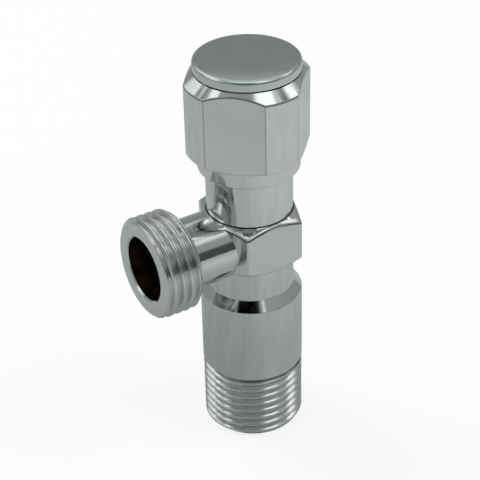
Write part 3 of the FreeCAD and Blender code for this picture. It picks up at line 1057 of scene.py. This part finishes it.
def panel(tree, direction, azimuth, elevation, half_width, half_height, soft):
    """Share of a soft-edged rectangular card seen in a direction; angles in degrees."""
    side = compass(azimuth + 90, 0)
    upward = compass(azimuth, elevation + 90)
    facing = aligned(tree, direction, compass(azimuth, elevation))
    # A direction square to the card's own, or away from it, doesn't meet the card
    least = 0.02
    share = between(tree, facing, least, 5 * least)
    deep = maths(tree, "MAXIMUM", facing, least)
    for axis, half in ((side, half_width), (upward, half_height)):
        offset = maths(tree, "ABSOLUTE", maths(tree, "DIVIDE", aligned(tree, direction, axis), deep))
        inner, outer = math.tan(math.radians(half - soft)), math.tan(math.radians(half + soft))
        share = maths(tree, "MULTIPLY", share, between(tree, offset, inner, outer, 1, 0))
    return share


room_tint = (0.935, 1.0, 0.975)
room_radius = 1.6
room_middle = 0.045

# Brightness of the room's walls by elevation in degrees
wall_levels = (
    (-90, 0.40), (-10, 0.32), (0, 0.30), (10, 0.32), (20, 0.31), (30, 0.34), (40, 0.37), (52, 0.41),
    (66, 0.36), (90, 0.26),
)

# Bright lamp fronts and dark screens in the room, a later one before an earlier one:
# azimuth, elevation, half width, half height and softness in degrees, and brightness
cards = (
    (248, 53, 20, 18, 7, 0.66),
    (238, 86, 16, 11, 4, 1.2),
    (335, 24, 14, 10, 5, 0.75),
    (75, 7, 42, 11, 4, 0.09),
    (114, 9, 8, 14, 3, 0.07),
    (232, 26, 20, 10, 5, 0.275),
    (293, 43, 10, 12, 4, 1.2),
    (50, 41, 21, 9, 3, 0.0),
    (153, 51, 5, 4, 3, 0.20),
    (309, 42, 6, 6, 4, 0.26),
    (113, 66, 11, 8, 2, 1.45),
    (117, 53, 8, 7, 3, 1.0),
    (340, 36, 8, 8, 4, 1.2),
    (294, 47, 6, 5, 3, 1.3),
    (137, 57, 4, 3, 2, 0.75),
    (164, 43, 6, 7, 3, 1.45),
    (90, 43, 2.5, 4, 2, 0.8),
    (291, 26, 8, 9, 4, 0.95),
    (328, 55, 5, 4, 2, 1.2),
    (348, 44, 6, 6, 3, 1.2),
    (180, 47, 10, 9, 4, 1.15),
    (166, 58, 6, 6, 3, 0.8),
    (133, 52, 4, 3, 2, 0.95),
    (301, 52, 6, 9, 3, 1.9),
)


def studio():
    """Room that only reflections see: grey walls by height, bright lamp fronts and dark screens."""
    bpy.ops.mesh.primitive_uv_sphere_add(segments=64, ring_count=32, radius=room_radius,
                                         location=(0, 0, room_middle))
    dome = bpy.context.object
    dome.name = "studio_room"
    material = bpy.data.materials.new("studio_room")
    tree = add_nodes(material)
    where = node(tree, "TexCoord").outputs["Object"]
    unit = node(tree, "VectorMath", operation="NORMALIZE")
    link(tree, where, unit.inputs[0])
    direction = unit.outputs["Vector"]
    parts = node(tree, "SeparateXYZ")
    link(tree, direction, parts.inputs[0])
    ramp = node(tree, "ValToRGB")
    elements = ramp.color_ramp.elements
    # A new ramp comes with two stops
    for i, (elevation, level) in enumerate(wall_levels):
        place = (math.sin(math.radians(elevation)) + 1) / 2
        if i < 2:
            elements[i].position = place
        else:
            elements.new(place)
        elements[i].color = (*times(room_tint, level), 1)
    link(tree, between_evenly(tree, parts.outputs["Z"], -1, 1), ramp.inputs["Fac"])
    colour = ramp.outputs["Color"]
    for azimuth, elevation, half_width, half_height, soft, level in cards:
        share = panel(tree, direction, azimuth, elevation, half_width, half_height, soft)
        colour = blended(tree, share, colour, times(room_tint, level))
    glow = node(tree, "Emission")
    link(tree, colour, glow.inputs["Color"])
    to_output(tree, glow.outputs[0])
    paint(dome, material)
    only_in_reflections(dome)


def table_card():
    """Glowing grey card in place of the lit table top, seen in the plating's reflections: a painted shadow
    of the valve darkens it near the valve, and painted light leaves it darker far off and lighter on its
    right.
    """
    obj = disc("table_card", table_radius, table_height)
    material = bpy.data.materials.new("table_card")
    tree = add_nodes(material)
    where = node(tree, "TexCoord").outputs["Object"]
    away = node(tree, "VectorMath", operation="LENGTH")
    link(tree, where, away.inputs[0])
    beside = node(tree, "VectorMath", operation="NORMALIZE")
    link(tree, where, beside.inputs[0])
    # Distances in metres, then the brightness or its share at each
    # Painted shadow of the valve near it, and painted light that falls off far away and is brighter on the
    # right
    near = between(tree, away.outputs["Value"], 0.01, 0.12, 0.33, 0.50)
    far = between(tree, away.outputs["Value"], 0.13, 0.3, 1.0, 0.85)
    rightward = aligned(tree, beside.outputs["Vector"], compass(135, 0))
    right = between(tree, rightward, -0.1, 0.95, 1.0, 1.22)
    uneven = varied(tree, noise(tree, where, table_scale, 2), 0.95, 1.06)
    by_distance = maths(tree, "MULTIPLY", near, far)
    level = maths(tree, "MULTIPLY", by_distance, maths(tree, "MULTIPLY", right, uneven))
    glow = node(tree, "Emission")
    glow.inputs["Color"].default_value = (*room_tint, 1)
    link(tree, level, glow.inputs["Strength"])
    to_output(tree, glow.outputs[0])
    paint(obj, material)
    only_in_reflections(obj)


def lamp(name, azimuth, elevation, power):
    """Soft round lamp that faces the valve; reflections see the room's lamp fronts in its place."""
    data = bpy.data.lights.new(name, "AREA")
    data.shape = "DISK"
    data.size = lamp_size
    data.energy = power
    obj = bpy.data.objects.new(name, data)
    bpy.context.scene.collection.objects.link(obj)
    outward = compass(azimuth, elevation)
    obj.location = outward * lamp_distance + Vector((0, 0, lamp_aim))
    obj.rotation_euler = outward.to_track_quat("Z", "Y").to_euler()
    obj.visible_glossy = False


def camera():
    """Camera that looks down on the valve from its outlet's side, with a little roll."""
    data = bpy.data.cameras.new("camera")
    data.sensor_width = camera_sensor
    data.lens = camera_lens
    obj = bpy.data.objects.new("camera", data)
    bpy.context.scene.collection.objects.link(obj)
    back = compass(camera_azimuth, camera_elevation)
    level = compass(camera_azimuth + 90, 0)
    upward = back.cross(level)
    roll = math.radians(camera_roll)
    side = math.cos(roll) * level + math.sin(roll) * upward
    top = -math.sin(roll) * level + math.cos(roll) * upward
    turn = Matrix((side, top, back)).transposed()
    obj.matrix_world = Matrix.Translation(camera_place) @ turn.to_4x4()
    data.clip_start = 0.01
    data.clip_end = 20
    bpy.context.scene.camera = obj


body_piece = threaded_body()
knob_piece = knob()
cap_piece = crowned_cap()
for piece in (body_piece, knob_piece, cap_piece):
    close_up(piece)
    shade(piece)

brass = turned_metal("raw_brass", tone=(0.62, 0.45, 0.22), dark=(0.30, 0.20, 0.09),
                     roughness=0.26, line_pitch=0.2)
# Brass in the bores: darkened, and near black in patches, as painted shade deep in the bores, partly tarnish
tarnished_and_shaded_brass = turned_metal("waterway_brass", tone=(0.40, 0.30, 0.17), dark=(0.05, 0.035, 0.018),
                         roughness=0.22, line_pitch=0.2)
steel = turned_metal("stainless_steel", tone=(0.63, 0.62, 0.60), dark=(0.50, 0.49, 0.47),
                     roughness=0.3, line_pitch=0.3)
spring = turned_metal("spring_steel", tone=(0.32, 0.32, 0.33), dark=(0.20, 0.20, 0.21),
                      roughness=0.35, line_pitch=0.4)
# The body's plating is darkened along the block's painted shade lines
body_chrome = chrome("body_chrome", tone=(0.70, 0.72, 0.71), smooth=0.05, dull=0.12, peel=12,
                     painted_shade_lines=block_painted_shade_lines, painted_shade_tone=0.12)
# Rougher plating on the thread flanks and roots, its tone a little darker as painted shade in the thread's
# valleys
thread_chrome = chrome("thread_chrome", tone=(0.66, 0.67, 0.66), smooth=0.12, dull=0.18, peel=3)
dull_chrome = chrome("dull_chrome", tone=(0.60, 0.615, 0.605), smooth=0.26, dull=0.36, peel=6)
# The knob's plating is darkened along its painted shade lines
knob_chrome = chrome("knob_chrome", tone=(0.705, 0.725, 0.715), smooth=0.07, dull=0.15, peel=9,
                     painted_shade_lines=knob_painted_shade_lines, painted_shade_tone=0.3)
cap_chrome = satin_chrome("cap_chrome", tone=(0.675, 0.71, 0.72), smooth=0.12, dull=0.17, ring_depth=1.2)
rubber = moulded("black_rubber", tone=(0.022, 0.022, 0.023), shadow=(0.012, 0.012, 0.013),
                 roughness=0.48, grain=4200, grain_depth=15)
nylon = moulded("white_nylon", tone=(0.82, 0.81, 0.77), shadow=(0.74, 0.73, 0.69),
                roughness=0.42, grain=2600, grain_depth=10)
ceramic = moulded("ceramic", tone=(0.90, 0.89, 0.86), shadow=(0.84, 0.83, 0.80),
                  roughness=0.16, grain=5200, grain_depth=2)
finishes = {
    "turned_brass": brass,
    "stainless_steel": steel,
    "spring_steel": spring,
    "black_rubber": rubber,
    "white_nylon": nylon,
    "ceramic": ceramic,
}
for obj in frame["nodes"].values():
    for holder in obj.material_slots:
        if holder.material.name in finishes:
            holder.material = finishes[holder.material.name]

paint_body(body_piece, body_chrome, tarnished_and_shaded_brass, thread_chrome, dull_chrome)
paint(knob_piece, knob_chrome)
paint(cap_piece, cap_chrome)
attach(body_piece, "body")
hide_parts("valve_body")
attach(knob_piece, "handle_and_spindle")
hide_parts("handle")
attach(cap_piece, "handle_and_spindle")
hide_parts("handle_cap")

camera()
world()
floor()
studio()
table_card()
lamp("left_lamp", azimuth=300, elevation=48, power=3.2)
lamp("right_lamp", azimuth=140, elevation=55, power=2.6)
bpy.context.scene.view_settings.view_transform = "Standard"
